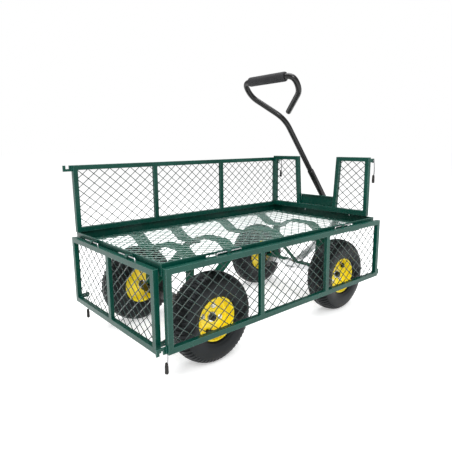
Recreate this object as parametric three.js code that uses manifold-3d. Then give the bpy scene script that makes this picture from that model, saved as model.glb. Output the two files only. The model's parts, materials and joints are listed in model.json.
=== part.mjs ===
// Four-wheeled steel garden cart with fold-down mesh sides, pull handle and linked front steering.
// Millimetres, +Z up, +X toward the handle, +Y to the cart's left.

import * as THREE from "three";
import { mergeVertices } from "three/addons/utils/BufferGeometryUtils.js";
import Module from "manifold-3d";

const wasm = await Module();
wasm.setup();

// Driving dimensions
const GAP = 0.3; // play left between pieces that touch
const BED_LENGTH = 937.4;
const BED_WIDTH = 511.6;
const RIM_TOP = 329.6;
const RIM_HEIGHT = 32.1;
const SHEET = 3; // folded sheet thickness of the rim
const FLANGE = 25; // inward ledge under the bed mesh
const TUBE = 15; // square tube of the folding panels
const PANEL_HEIGHT = 215.4;
const SIDE_LENGTH = 943;
const REAR_WIDTH = 499.2;
const FRONT_WIDTH = 476;
const WIRE = 2.4; // mesh thickness
const WHEEL_RADIUS = 130;
const TRACK = 409.2; // between wheel centre planes
const REAR_AXLE_X = -282.7;
const FRONT_AXLE_X = 307.8;
const KINGPIN_Y = 150;
const TIE_OFFSET = 35; // tie rod pins ahead of the front axle
const HANDLE_PIVOT_X = 603;
const HANDLE_PIVOT_Z = 252;
const HANDLE_LEAN = 38.5; // degrees back from upright
// Where the bed centre stands, so that the whole cart's box is centred on the origin
const BED_CENTRE_X = -59.8;
const BED_CENTRE_Y = 7.5;
const SIDES = [["left", 1], ["right", -1]]; // which way Y runs on each side of the cart

const GREEN = { color: 0x0d4a38, roughness: 0.42, metalness: 0.25 };
const YELLOW = { color: 0xf2c312, roughness: 0.38, metalness: 0.15 };
const RUBBER = { color: 0x1d1e20, roughness: 0.85, metalness: 0.0 };
const BLACK = { color: 0x1b1b1d, roughness: 0.45, metalness: 0.3 };
const FOAM = { color: 0x2b2c2f, roughness: 0.9, metalness: 0.0 };
const STEEL = { color: 0xb9bcc0, roughness: 0.35, metalness: 0.9 };

const cart = new THREE.Group();
cart.position.set(BED_CENTRE_X, BED_CENTRE_Y, 0);

// Adds one named piece to the cart.
function addPiece(name, geometry, finish) {
  const mesh = new THREE.Mesh(geometry, new THREE.MeshStandardMaterial(finish));
  mesh.name = name;
  cart.add(mesh);
}

// Turns the faces of a closed body outward when they face in.
function faceOut(geometry) {
  const index = geometry.getIndex().array;
  const at = geometry.getAttribute("position");
  const corner = (i) => new THREE.Vector3().fromBufferAttribute(at, index[i]);
  let volume = 0;
  for (let i = 0; i < index.length; i += 3) {
    volume += corner(i).dot(corner(i + 1).cross(corner(i + 2)));
  }
  if (volume < 0) {
    geometry.setIndex(Array.from(index).reverse());
  }
  return geometry;
}

// Drops normals and texture positions, and joins equal corners.
function weld(geometry) {
  geometry.deleteAttribute("normal");
  geometry.deleteAttribute("uv");
  return faceOut(mergeVertices(geometry, 1e-3));
}

function toSolid(geometry) {
  const vertProperties = new Float32Array(geometry.getAttribute("position").array);
  const triVerts = new Uint32Array(geometry.getIndex().array);
  return new wasm.Manifold(new wasm.Mesh({ numProp: 3, vertProperties, triVerts }));
}

function fromSolid(solid) {
  const mesh = solid.getMesh();
  const geometry = new THREE.BufferGeometry();
  geometry.setAttribute("position", new THREE.BufferAttribute(mesh.vertProperties, 3));
  geometry.setIndex(Array.from(mesh.triVerts));
  return geometry;
}

// Joins several bodies into one, then cuts others away.
function join(parts, cuts = []) {
  let solid = toSolid(parts[0]);
  for (const part of parts.slice(1)) {
    solid = solid.add(toSolid(part));
  }
  for (const cut of cuts) {
    solid = solid.subtract(toSolid(cut));
  }
  return fromSolid(solid);
}

// Rectangular block between two corners.
function block(x0, x1, y0, y1, z0, z1) {
  const box = new THREE.BoxGeometry(x1 - x0, y1 - y0, z1 - z0);
  box.translate((x0 + x1) / 2, (y0 + y1) / 2, (z0 + z1) / 2);
  return weld(box);
}

// Round bar between two points.
function bar(from, to, radius, sides = 10) {
  const start = new THREE.Vector3(...from);
  const along = new THREE.Vector3(...to).sub(start);
  const body = new THREE.CylinderGeometry(radius, radius, along.length(), sides);
  body.translate(0, along.length() / 2, 0);
  const turn = new THREE.Quaternion().setFromUnitVectors(
    new THREE.Vector3(0, 1, 0), along.clone().normalize());
  body.applyQuaternion(turn);
  body.translate(...from);
  return weld(body);
}

function shapeOf(points, holes = []) {
  const shape = new THREE.Shape(points.map(([a, b]) => new THREE.Vector2(a, b)));
  for (const hole of holes) {
    shape.holes.push(new THREE.Path(hole.map(([a, b]) => new THREE.Vector2(a, b))));
  }
  return shape;
}

// Flat outline in X and Z, thick along Y.
function plateXZ(points, y0, y1, holes = []) {
  const body = new THREE.ExtrudeGeometry(shapeOf(points, holes), { depth: y1 - y0, bevelEnabled: false });
  body.rotateX(Math.PI / 2);
  body.translate(0, y1, 0);
  return weld(body);
}

// Flat outline in Y and Z, thick along X.
function plateYZ(points, x0, x1) {
  const body = new THREE.ExtrudeGeometry(shapeOf(points), { depth: x1 - x0, bevelEnabled: false });
  const axes = new THREE.Matrix4().makeBasis(
    new THREE.Vector3(0, 1, 0), new THREE.Vector3(0, 0, 1), new THREE.Vector3(1, 0, 0));
  body.applyMatrix4(axes);
  body.translate(x0, 0, 0);
  return weld(body);
}

// Flat outline in X and Y, thick along Z.
function plateXY(points, z0, z1, holes = []) {
  const body = new THREE.ExtrudeGeometry(shapeOf(points, holes), { depth: z1 - z0, bevelEnabled: false });
  body.translate(0, 0, z0);
  return weld(body);
}

function rectangle(a0, a1, b0, b1) {
  return [[a0, b0], [a1, b0], [a1, b1], [a0, b1]];
}

// Outline of a bent strip of even thickness that follows a line of points.
function stripOutline(line, thickness) {
  const side = (sign) => line.map((point, i) => {
    const before = line[Math.max(i - 1, 0)];
    const after = line[Math.min(i + 1, line.length - 1)];
    const into = new THREE.Vector2(point[0] - before[0], point[1] - before[1]).normalize();
    const out = new THREE.Vector2(after[0] - point[0], after[1] - point[1]).normalize();
    const run = into.clone().add(out).normalize();
    const slant = Math.max(run.dot(into), run.dot(out));
    const reach = (sign * thickness) / 2 / slant;
    return [point[0] - run.y * reach, point[1] + run.x * reach];
  });
  return [...side(-1), ...side(1).reverse()];
}

// Ring or disc turned about the Y axis; the outline is given as radius and Y.
function turned(outline, sides, closedRing) {
  const points = outline.map(([radius, y]) => new THREE.Vector2(radius, y));
  if (closedRing) {
    points.push(points[0].clone());
  }
  return weld(new THREE.LatheGeometry(points, sides));
}

// Keeps the part of a convex outline on one side of a limit along one axis.
function clip(points, axis, limit, sign) {
  const kept = [];
  points.forEach((point, i) => {
    const next = points[(i + 1) % points.length];
    const here = sign * (limit - point[axis]);
    const there = sign * (limit - next[axis]);
    if (here >= 0) {
      kept.push(point);
    }
    if (here * there < 0) {
      const share = here / (here - there);
      kept.push([0, 1].map((k) => point[k] + share * (next[k] - point[k])));
    }
  });
  return kept;
}

function areaOf(points) {
  return Math.abs(points.reduce((sum, [a, b], i) => {
    const [c, d] = points[(i + 1) % points.length];
    return sum + (a * d - b * c) / 2;
  }, 0));
}

// Diamond openings of a coarse mesh that fills a rectangle.
function diamonds(a0, a1, b0, b1, columns, rows, wire) {
  const pitchA = (a1 - a0) / columns;
  const pitchB = (b1 - b0) / rows;
  const least = 60; // smaller scraps at the edges are left closed
  const holes = [];
  for (let i = 0; i <= 2 * columns; i += 1) {
    for (let j = i % 2; j <= 2 * rows; j += 2) {
      const a = a0 + (i * pitchA) / 2;
      const b = b0 + (j * pitchB) / 2;
      const halfA = pitchA / 2 - wire;
      const halfB = pitchB / 2 - (wire * pitchB) / pitchA;
      let hole = [[a - halfA, b], [a, b - halfB], [a + halfA, b], [a, b + halfB]];
      hole = clip(hole, 0, a1 - wire, 1);
      hole = clip(hole, 0, a0 + wire, -1);
      hole = clip(hole, 1, b1 - wire, 1);
      hole = clip(hole, 1, b0 + wire, -1);
      if (hole.length > 2 && areaOf(hole) > least) {
        holes.push(hole);
      }
    }
  }
  return holes;
}

// Hinges. Each fold-down panel turns about pins held by lugs on the rim. A panel and its hinge are
// drawn along X with their outer side toward +Y and the hinge axis at the origin, then stood in place.
const rimBottom = RIM_TOP - RIM_HEIGHT;
const halfLength = BED_LENGTH / 2;
const halfWidth = BED_WIDTH / 2;
const PIN_RADIUS = 2.4;
const PIN_PLAY = 0.4;
const PIN_LENGTH = 90;
const LUG_WIDTH = 6;
const LUG_PLAY = 0.5;
const LUG_LAP = 1.5; // how far a lug laps onto its panel's lower rail
const LUG_HALF = 3; // half of a panel lug's depth
const LUG_FACE = 1; // outer face of a lug whose panel stands inward of the hinge axis
const LUG_EYE = 4.2; // radius of a panel lug round its pin
const panels = {
  left: { at: [0, halfWidth + 5.2, 325.3], turns: 0, folded: false, lugs: [-260, 260], posts: [-171, 141],
    inner: -20.2, bottom: 4.6, rimLug: { depth: [-6.2, 0], rise: [-4.6, 0.4], radius: 4.6 } },
  right: { at: [0, -halfWidth - 5.2, 325.3], turns: 2, folded: true, lugs: [-260, 260], posts: [-156, 150],
    inner: -20.2, bottom: 4.6, rimLug: { depth: [-6.2, 0], rise: [-4.6, 0.4], radius: 4.6 } },
  rear: { at: [-481, 0, 323], turns: 1, folded: true, lugs: [-110, 110],
    inner: -7.5, bottom: 7.1, rimLug: { depth: [-13.3, 0], rise: [-4.6, 2.6], radius: 4.6 } },
  front: { at: [465.2, 0, 334.2], turns: -1, folded: false, lugs: [-110, 110],
    inner: -20.6, bottom: 2.9, rimLug: { depth: [0.5, 3.5], rise: [-9, 0], radius: 3.8 } },
};

// Stands a piece drawn in a panel's own directions on its side of the cart.
function stand(geometry, panel, folded) {
  if (folded) {
    geometry.rotateX(Math.PI);
  }
  geometry.rotateZ((panel.turns * Math.PI) / 2);
  geometry.translate(...panel.at);
  return geometry;
}

// Lug on the rim, one beside each lug of the panel
function rimLugs(panel) {
  const { depth, rise, radius } = panel.rimLug;
  return panel.lugs.flatMap((u) => [
    block(u - LUG_WIDTH, u, depth[0], depth[1], rise[0], rise[1]),
    bar([u - LUG_WIDTH, 0, 0], [u, 0, 0], radius),
  ]).map((lug) => stand(lug, panel, false));
}

function pinHoles(panel) {
  return panel.lugs.map((u) => bar([u - 2 * LUG_WIDTH, 0, 0], [u + 2 * LUG_WIDTH, 0, 0],
    PIN_RADIUS + PIN_PLAY));
}

// Lugs on the panel's lower rail, reaching out to the hinge axis
function panelLugs(panel) {
  const centred = panel.inner > -TUBE;
  const back = centred ? -LUG_HALF : panel.inner + TUBE - LUG_LAP;
  const face = centred ? LUG_HALF : LUG_FACE;
  const top = panel.bottom + LUG_LAP;
  return panel.lugs.flatMap((u) => [
    block(u + LUG_PLAY, u + LUG_WIDTH, back, face, panel.bottom, top),
    block(u + LUG_PLAY, u + LUG_WIDTH, -LUG_HALF, face, 0, top),
    bar([u + LUG_PLAY, 0, 0], [u + LUG_WIDTH, 0, 0], LUG_EYE),
  ]);
}

// Bed: folded rim with an inward ledge, hinge lugs and slots
const SLOT_LENGTH = 33;
const SLOT_HEIGHT = 6;
const SLOT_BOTTOM = 318;
const SLOT_PLACES = [-333, 300];

function bedFrame() {
  const outer = rectangle(-halfLength, halfLength, -halfWidth, halfWidth);
  const inner = rectangle(-halfLength + SHEET, halfLength - SHEET, -halfWidth + SHEET, halfWidth - SHEET);
  const ledge = rectangle(-halfLength + FLANGE, halfLength - FLANGE, -halfWidth + FLANGE, halfWidth - FLANGE);
  const parts = [
    plateXY(outer, rimBottom + SHEET - 1, RIM_TOP, [inner]),
    plateXY(outer, rimBottom, rimBottom + SHEET, [ledge]),
  ];
  const cuts = [];
  for (const panel of Object.values(panels)) {
    parts.push(...rimLugs(panel));
    cuts.push(...pinHoles(panel).map((hole) => stand(hole, panel, false)));
  }
  for (const x of SLOT_PLACES) {
    cuts.push(block(x, x + SLOT_LENGTH, -halfWidth - 1, -halfWidth + SHEET + 1, SLOT_BOTTOM,
      SLOT_BOTTOM + SLOT_HEIGHT));
  }
  return join(parts, cuts);
}
addPiece("bed_frame", bedFrame(), GREEN);

for (const [side, panel] of Object.entries(panels)) {
  panel.lugs.forEach((u, k) => {
    const pin = bar([u - PIN_LENGTH / 2, 0, 0], [u + PIN_LENGTH / 2, 0, 0], PIN_RADIUS, 8);
    addPiece(`hinge_pin_${side}_${"ab"[k]}`, stand(pin, panel, false), STEEL);
  });
}

const MESH_LEVEL = rimBottom + SHEET + GAP;
const bedHalfX = halfLength - SHEET - GAP;
const bedHalfY = halfWidth - SHEET - GAP;
const BED_WIRE = 4;
addPiece("bed_mesh", join(
  [plateXY(rectangle(-bedHalfX, bedHalfX, -bedHalfY, bedHalfY), MESH_LEVEL, MESH_LEVEL + WIRE)],
  diamonds(-bedHalfX, bedHalfX, -bedHalfY, bedHalfY, 8, 5, BED_WIRE).map((hole) =>
    plateXY(hole, MESH_LEVEL - 1, MESH_LEVEL + WIRE + 1)),
), GREEN);

// Underframe: wavy cross straps under the mesh, V-shaped legs below them
const STRAP = 4;
const STRAP_WIDTH = 50;
const strapTop = rimBottom - GAP - STRAP / 2;
const TROUGH_Z = 266;
const strapHalf = [[52, strapTop], [100, TROUGH_Z], [170, TROUGH_Z], [222, strapTop],
  [halfWidth - 2, strapTop]];
const strapLine = [...strapHalf.map(([y, z]) => [-y, z]).reverse(), ...strapHalf];
const straps = { strap_rear_a: -265, strap_rear_b: -105, strap_front_a: 130, strap_front_b: 352 };
for (const [name, x] of Object.entries(straps)) {
  addPiece(name, plateYZ(stripOutline(strapLine, STRAP), x - STRAP_WIDTH / 2, x + STRAP_WIDTH / 2), GREEN);
}

const LEG_INNER_Y = 96;
const LEG_OUTER_Y = 134;
const legTop = TROUGH_Z - STRAP - GAP;
const AXLE_TUBE = 25;
const rearSeat = WHEEL_RADIUS + AXLE_TUBE / 2 + GAP + STRAP / 2;
const BEAM_TOP = 138;
const BEAM_DEPTH = 20;
const frontSeat = BEAM_TOP + GAP + STRAP / 2;
const rearLegLine = [[-84, legTop], [-126, legTop], [-266, rearSeat], [-290, rearSeat], [-284, legTop],
  [-246, legTop]];
const braceTop = strapTop - STRAP - GAP;
const FOOT_BACK = 292;
const FOOT_FRONT = 322;
const footLine = [[FOOT_BACK, frontSeat], [FOOT_FRONT, frontSeat]];
const braceLine = [[104, braceTop], [138, braceTop], ...footLine];
const uprightLine = [...footLine, [336, legTop], [374, legTop]];
const BRACE_INNER_Y = 30;
const BRACE_OUTER_Y = 50;
const LAP = 1; // how far the foot plate stays inside the outline of the strips it joins
const FOOT_HALF = STRAP / 2 - 0.2;

// The two distances from the middle, on one side of the cart, in rising order of Y
function rows(sign, inner, outer) {
  return [sign * inner, sign * outer].sort((a, b) => a - b);
}

// Front leg: a narrow brace near the middle and an upright near the wheel, joined by a foot plate
function frontLeg(sign) {
  return join([
    plateXZ(stripOutline(braceLine, STRAP), ...rows(sign, BRACE_INNER_Y, BRACE_OUTER_Y)),
    plateXZ(stripOutline(uprightLine, STRAP), ...rows(sign, LEG_INNER_Y, LEG_OUTER_Y)),
    block(FOOT_BACK + LAP, FOOT_FRONT - LAP, ...rows(sign, BRACE_INNER_Y + LAP, LEG_OUTER_Y - LAP),
      frontSeat - FOOT_HALF, frontSeat + FOOT_HALF),
  ]);
}

for (const [side, sign] of SIDES) {
  const rearLeg = plateXZ(stripOutline(rearLegLine, STRAP), ...rows(sign, LEG_INNER_Y, LEG_OUTER_Y));
  addPiece(`leg_rear_${side}`, rearLeg, GREEN);
  addPiece(`leg_front_${side}`, frontLeg(sign), GREEN);
}

// Rear axle: a square tube with round ends, each closed by a nut
const AXLE_RADIUS = 8;
const AXLE_END = TRACK / 2 + 18;
const SHOULDER = 162;
const NUT_RADIUS = 11;
const NUT_SPAN = [9, 1.5]; // from the axle's end
const halfTube = AXLE_TUBE / 2;

// Round axle end with its nut, from a start point out to the wheel's far side
function axleEnd(x, sign, start) {
  return [
    bar([x, sign * start, WHEEL_RADIUS], [x, sign * AXLE_END, WHEEL_RADIUS], AXLE_RADIUS),
    bar(...NUT_SPAN.map((back) => [x, sign * (AXLE_END - back), WHEEL_RADIUS]), NUT_RADIUS, 6),
  ];
}

addPiece("rear_axle", join([
  block(REAR_AXLE_X - halfTube, REAR_AXLE_X + halfTube, -SHOULDER, SHOULDER, WHEEL_RADIUS - halfTube,
    WHEEL_RADIUS + halfTube),
  ...axleEnd(REAR_AXLE_X, 1, 0),
  ...axleEnd(REAR_AXLE_X, -1, 0),
]), BLACK);

const LUG_THICK = 5;
const YOKE_TOP = 168;
const YOKE_BOTTOM = 84;
const YOKE_INNER = 135;
const YOKE_OUTER = 161;
const YOKE_WEB = 4;
const BEAM_HALF = 14;
const YOKE_INSET = 2; // how much narrower a yoke is than the beam, at each edge
const KINGPIN_HEAD = 8;
const KINGPIN_RISE = 6;
function frontBeam() {
  const parts = [block(FRONT_AXLE_X - BEAM_HALF, FRONT_AXLE_X + BEAM_HALF, -YOKE_INNER - 1, YOKE_INNER + 1,
    BEAM_TOP - BEAM_DEPTH, BEAM_TOP)];
  for (const sign of [-1, 1]) {
    const [lugTop, lugUnder] = [YOKE_BOTTOM + LUG_THICK, YOKE_TOP - LUG_THICK];
    const yoke = [[YOKE_INNER, YOKE_BOTTOM], [YOKE_OUTER, YOKE_BOTTOM], [YOKE_OUTER, lugTop],
      [YOKE_INNER + YOKE_WEB, lugTop], [YOKE_INNER + YOKE_WEB, lugUnder], [YOKE_OUTER, lugUnder],
      [YOKE_OUTER, YOKE_TOP], [YOKE_INNER, YOKE_TOP]];
    parts.push(plateYZ(yoke.map(([y, z]) => [sign * y, z]), FRONT_AXLE_X - BEAM_HALF + YOKE_INSET,
      FRONT_AXLE_X + BEAM_HALF - YOKE_INSET));
    const pinY = sign * KINGPIN_Y;
    parts.push(bar([FRONT_AXLE_X, pinY, YOKE_TOP - 1], [FRONT_AXLE_X, pinY, YOKE_TOP + KINGPIN_RISE],
      KINGPIN_HEAD, 6));
  }
  return join(parts);
}
addPiece("front_beam", frontBeam(), STEEL);

// Steering knuckles: a post between the yoke's lugs, the stub axle, and a forward arm
const ARM_BOTTOM = 95;
const ARM_TOP = 100.4;
const TIE_SPREAD = 12;
const ARM_ROOT = 8; // half width of the arm at the post
const ARM_TIP = 7; // and round the tie rod's pin
const POST_RADIUS = 10;
function knuckle(sign) {
  const y = sign * KINGPIN_Y;
  const armY = sign * (KINGPIN_Y + TIE_SPREAD);
  const pinX = FRONT_AXLE_X + TIE_OFFSET;
  const arm = [[FRONT_AXLE_X, y - ARM_ROOT], [pinX, armY - ARM_TIP], [pinX + ARM_TIP, armY],
    [pinX, armY + ARM_TIP], [FRONT_AXLE_X, y + ARM_ROOT]];
  const [postFoot, postHead] = [YOKE_BOTTOM + LUG_THICK + GAP, YOKE_TOP - LUG_THICK - GAP];
  return join([
    bar([FRONT_AXLE_X, y, postFoot], [FRONT_AXLE_X, y, postHead], POST_RADIUS, 16),
    ...axleEnd(FRONT_AXLE_X, sign, KINGPIN_Y),
    plateXY(arm, ARM_BOTTOM, ARM_TOP),
  ]);
}
addPiece("knuckle_left", knuckle(1), BLACK);
addPiece("knuckle_right", knuckle(-1), BLACK);

// Drawbar: two plates round the beam, rising in front to a pair of ears
const DRAWBAR_HALF = 20;
const PLATE = 5;
const EAR_INNER = 14.6;
const EAR_OUTER = 19.4;
const BOLT_RADIUS = 5;
const PIVOT_NUT = 10;
const PIVOT_RISE = 7;

// Clearance hole for the handle's bolt, through both ears and the tube
function handleBoltHole() {
  return bar([HANDLE_PIVOT_X, -40, HANDLE_PIVOT_Z], [HANDLE_PIVOT_X, 40, HANDLE_PIVOT_Z], BOLT_RADIUS + GAP);
}

function drawbar() {
  const top = BEAM_TOP + GAP + PLATE / 2;
  const low = BEAM_TOP - BEAM_DEPTH - GAP - PLATE / 2;
  const rise = [[286, top], [361, top], [447, 180], [584, 238]];
  const under = [[288, low], [352, low], [352, top]];
  const parts = [
    plateXZ(stripOutline(rise, PLATE), -DRAWBAR_HALF, DRAWBAR_HALF),
    plateXZ(stripOutline(under, PLATE), -DRAWBAR_HALF, DRAWBAR_HALF),
    bar([FRONT_AXLE_X, 0, top], [FRONT_AXLE_X, 0, top + PLATE / 2 + PIVOT_RISE], PIVOT_NUT, 6),
  ];
  const ear = [[556, 216], [590, 232], [612, 238], [618, 252], [610, 265], [594, 265], [570, 244],
    [550, 232]];
  for (const sign of [-1, 1]) {
    parts.push(plateXZ(ear, ...rows(sign, EAR_INNER, EAR_OUTER)));
  }
  return join(parts, [handleBoltHole()]);
}
addPiece("drawbar", drawbar(), STEEL);

const BOLT_HEAD = 9;
function handleBolt() {
  const head = EAR_OUTER + GAP;
  const end = head + 6;
  const body = turned([[0, -end], [BOLT_HEAD, -end], [BOLT_HEAD, -head], [BOLT_RADIUS, -head],
    [BOLT_RADIUS, head], [BOLT_HEAD, head], [BOLT_HEAD, end], [0, end]], 10, false);
  body.translate(HANDLE_PIVOT_X, 0, HANDLE_PIVOT_Z);
  return body;
}
addPiece("handle_bolt", handleBolt(), STEEL);

// Tie rods: level bars from the drawbar to the knuckle arms
const TIE_RADIUS = 4;
const TIE_Z = 106;
const EYE_RADIUS = 7;
const EYE_HALF = 5;
for (const [side, sign] of SIDES) {
  const x = FRONT_AXLE_X + TIE_OFFSET;
  const ends = [sign * TIE_SPREAD, sign * (KINGPIN_Y + TIE_SPREAD)];
  addPiece(`tie_rod_${side}`, join([
    bar([x, ends[0], TIE_Z], [x, ends[1], TIE_Z], TIE_RADIUS, 10),
    ...ends.map((y) => bar([x, y, TIE_Z - EYE_HALF], [x, y, TIE_Z + EYE_HALF], EYE_RADIUS, 10)),
  ]), STEEL);
}

// Wheels: tyre, steel rim with bolt heads, and valve
const TYRE_SIDES = 30;
const RIM_SIDES = 22;
const tyreOutline = [[64, -31], [82, -39.5], [102, -41], [119, -34], [WHEEL_RADIUS, -16],
  [WHEEL_RADIUS, 16], [119, 34], [102, 41], [82, 39.5], [64, 31]];
const rimOutline = [[63, -31.5], [63, 31.5], [57.5, 30], [52, 3], [14.5, 3], [14.5, 8],
  [8.6, 8], [8.6, -29], [14.5, -29], [14.5, -4], [52, -4], [57.5, -30]];
const BOLT_CIRCLE = 32;
const BOLT_SPAN = [2, 7.5]; // from the wheel's middle plane
const WHEEL_BOLT = 5.5;
const VALVE_CIRCLE = 40;
const VALVE_SPAN = [3.3, 22]; // from the wheel's middle plane
const VALVE_HALF = [11, 4.5]; // half of its length and of its width

function wheelBolts(sign, turn) {
  return [0, 1, 2].map((k) => {
    const angle = turn + ((k + 1) * Math.PI) / 2;
    const [x, z] = [BOLT_CIRCLE * Math.cos(angle), BOLT_CIRCLE * Math.sin(angle)];
    return bar(...BOLT_SPAN.map((y) => [x, sign * y, z]), WHEEL_BOLT, 6);
  });
}

function valve(sign, turn) {
  const [long, wide] = VALVE_HALF;
  const body = block(-long, long, ...rows(sign, ...VALVE_SPAN), -VALVE_CIRCLE - wide, -VALVE_CIRCLE + wide);
  body.rotateY(-turn - Math.PI / 2);
  return body;
}

// Lays the wheel over so that one flat of the tyre rests on the ground.
const flatTurn = Math.PI / TYRE_SIDES;
const flatScale = 1 / Math.cos(flatTurn);
const wheels = [
  ["rear_left", REAR_AXLE_X, 1, 2.2], ["rear_right", REAR_AXLE_X, -1, -1.82],
  ["front_left", FRONT_AXLE_X, 1, -0.4], ["front_right", FRONT_AXLE_X, -1, 0.78],
];
for (const [place, x, sign, turn] of wheels) {
  const centre = [x, (sign * TRACK) / 2, WHEEL_RADIUS];
  const tyre = turned(tyreOutline.map(([radius, y]) => [radius * (radius > 64 ? flatScale : 1), y]),
    TYRE_SIDES, true);
  tyre.rotateY(flatTurn);
  tyre.translate(...centre);
  addPiece(`tyre_${place}`, tyre, RUBBER);

  const rim = join([turned(rimOutline.map(([radius, y]) => [radius, sign * y]), RIM_SIDES, true),
    ...wheelBolts(sign, turn)]);
  rim.translate(...centre);
  addPiece(`rim_${place}`, rim, YELLOW);

  const stem = valve(sign, turn);
  stem.translate(...centre);
  addPiece(`valve_${place}`, stem, RUBBER);
}

// Folding panels: square tube frames with mesh let in behind the inner posts
const POST_DEPTH = 11.6;
const HOOK_REACH = 28;
const HOOK_HEIGHT = 19;
const HOOK_SLOT = [8.5, 19.5];
const HOOK_THICK = 4;
const HOOK_ROOT = 8; // how far the hook plate laps onto the corner post
const HOOK_DEPTH = 11;
const REAR_REACH = 18.4; // how far the latch wires hang from the rear gate's outer face
const FRONT_REACH = 30;
const TAB_HEIGHT = 205;
const TAB_THICK = 3;
const TAB_LIP = 5; // material beyond the tab's hole
const TAB_PLAY = 0.8;
const TAB_BELOW = 6;
const TAB_ABOVE = 8;
const PANEL_WIRE = 3.5;

function panelTop(panel) {
  return panel.bottom + PANEL_HEIGHT;
}

// Outline of a straight panel and of the opening inside its outer tubes
function panelOutlines(panel, length) {
  const outside = rectangle(-length / 2, length / 2, panel.bottom, panelTop(panel));
  const opening = rectangle(-length / 2 + TUBE, length / 2 - TUBE, panel.bottom + TUBE,
    panelTop(panel) - TUBE);
  return { outside, opening };
}

function straightFrame(panel, length, postPlaces, fittings) {
  const { outside, opening } = panelOutlines(panel, length);
  const parts = [plateXZ(outside, panel.inner, panel.inner + TUBE, [opening])];
  for (const u of postPlaces) {
    parts.push(plateXZ(rectangle(u - TUBE / 2, u + TUBE / 2, panel.bottom + 1, panelTop(panel) - 1),
      panel.inner, panel.inner + POST_DEPTH));
  }
  return join([...parts, ...panelLugs(panel), ...fittings], pinHoles(panel));
}

function meshSheet(panel, u0, u1, columns) {
  const [v0, v1] = [panel.bottom + TUBE + GAP, panelTop(panel) - TUBE - GAP];
  return meshPlate(panel, rectangle(u0, u1, v0, v1), diamonds(u0, u1, v0, v1, columns, 2, PANEL_WIRE));
}

// Thin plate behind a panel's inner posts, cut through by its diamond openings
function meshPlate(panel, outline, holes) {
  const depth = panel.inner + POST_DEPTH + GAP;
  return join([plateXZ(outline, depth, depth + WIRE)],
    holes.map((hole) => plateXZ(hole, depth - 1, depth + WIRE + 1)));
}

// Hooked plate at each upper corner of a side panel, open upward when the panel is raised
function hookPlates(panel) {
  const [near, far] = HOOK_SLOT;
  const base = HOOK_HEIGHT - HOOK_DEPTH;
  const outline = [[-HOOK_ROOT, 0], [HOOK_REACH, 0], [HOOK_REACH, HOOK_HEIGHT], [far, HOOK_HEIGHT],
    [far, base], [near, base], [near, HOOK_HEIGHT], [-HOOK_ROOT, HOOK_HEIGHT]];
  const depth = panel.inner + TUBE - HOOK_THICK;
  return [-1, 1].map((sign) => plateXZ(outline.map(([u, v]) => [sign * (SIDE_LENGTH / 2 + u),
    panelTop(panel) - HOOK_HEIGHT + v]), depth, depth + HOOK_THICK));
}

for (const side of ["left", "right"]) {
  const panel = panels[side];
  const frame = straightFrame(panel, SIDE_LENGTH, panel.posts, hookPlates(panel));
  addPiece(`${side}_frame`, stand(frame, panel, panel.folded), GREEN);
  const end = SIDE_LENGTH / 2 - TUBE - GAP;
  addPiece(`${side}_mesh`, stand(meshSheet(panel, -end, end, 8), panel, panel.folded), GREEN);
}

// Drilled tabs near a gate's upper corners that carry the latch wires
function latchTabs(panel, u, reach) {
  const face = panel.inner + TUBE;
  return [-1, 1].map((sign) => block(...rows(sign, u, u + TAB_THICK), face - 1, face + reach + TAB_LIP,
    TAB_HEIGHT - TAB_BELOW, TAB_HEIGHT + TAB_ABOVE));
}

function tabHoles(panel, u, reach) {
  const depth = panel.inner + TUBE + reach;
  return [-1, 1].map((sign) => bar([sign * (u - 4), depth, TAB_HEIGHT], [sign * (u + 8), depth, TAB_HEIGHT],
    LATCH_WIRE + TAB_PLAY, 8));
}

const LATCH_WIRE = 1.8;
const LATCH_DROP = 70;
const LATCH_INSET = 3; // the hanging wire stands this far beyond its tab
const LATCH_TAIL = 6; // and its pivot reaches this far past the tab
const CAP_LENGTH = 30;
const CAP_RADIUS = 5;
const CAP_BORE = 17;
const REAR_TAB = 236;
const FRONT_TAB = 228;

const rearPanel = panels.rear;
const rearBody = straightFrame(rearPanel, REAR_WIDTH, [0], latchTabs(rearPanel, REAR_TAB, REAR_REACH));
const rearFrame = join([rearBody], tabHoles(rearPanel, REAR_TAB, REAR_REACH));
addPiece("rear_frame", stand(rearFrame, rearPanel, true), GREEN);
const rearEnd = REAR_WIDTH / 2 - TUBE - GAP;
addPiece("rear_mesh", stand(meshSheet(rearPanel, -rearEnd, rearEnd, 4), rearPanel, true), GREEN);

// Front gate: a U-shaped frame round the handle, with a plate across the foot of the U
const frontPanel = panels.front;
const NOTCH_LOW = 84;
const NOTCH_HIGH = 97;
const NOTCH_PLATE_TOP = 59;
const NOTCH_SHEET = 2.5;
const NOTCH_LEDGE = 9;
const GATE_SKIRT = 3.5; // how much deeper the gate's lower rail is than its other tubes
function frontGate() {
  const half = FRONT_WIDTH / 2;
  const low = frontPanel.bottom;
  const foot = low - GATE_SKIRT;
  const high = panelTop(frontPanel);
  const outline = [[-half, foot], [half, foot], [half, high], [NOTCH_HIGH, high], [NOTCH_LOW, low + TUBE],
    [-NOTCH_LOW, low + TUBE], [-NOTCH_HIGH, high], [-half, high]];
  const bays = [-1, 1].map((sign) => [[NOTCH_LOW + TUBE, low + TUBE], [half - TUBE, low + TUBE],
    [half - TUBE, high - TUBE], [NOTCH_HIGH + TUBE, high - TUBE]].map(([u, v]) => [sign * u, v]));
  const frame = join([plateXZ(outline, frontPanel.inner, frontPanel.inner + TUBE)],
    bays.map((bay) => plateXZ(bay, frontPanel.inner - 1, frontPanel.inner + TUBE + 1)));
  return join([
    frame,
    ...panelLugs(frontPanel),
    ...latchTabs(frontPanel, FRONT_TAB, FRONT_REACH),
  ], [...pinHoles(frontPanel), ...tabHoles(frontPanel, FRONT_TAB, FRONT_REACH)]);
}
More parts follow.
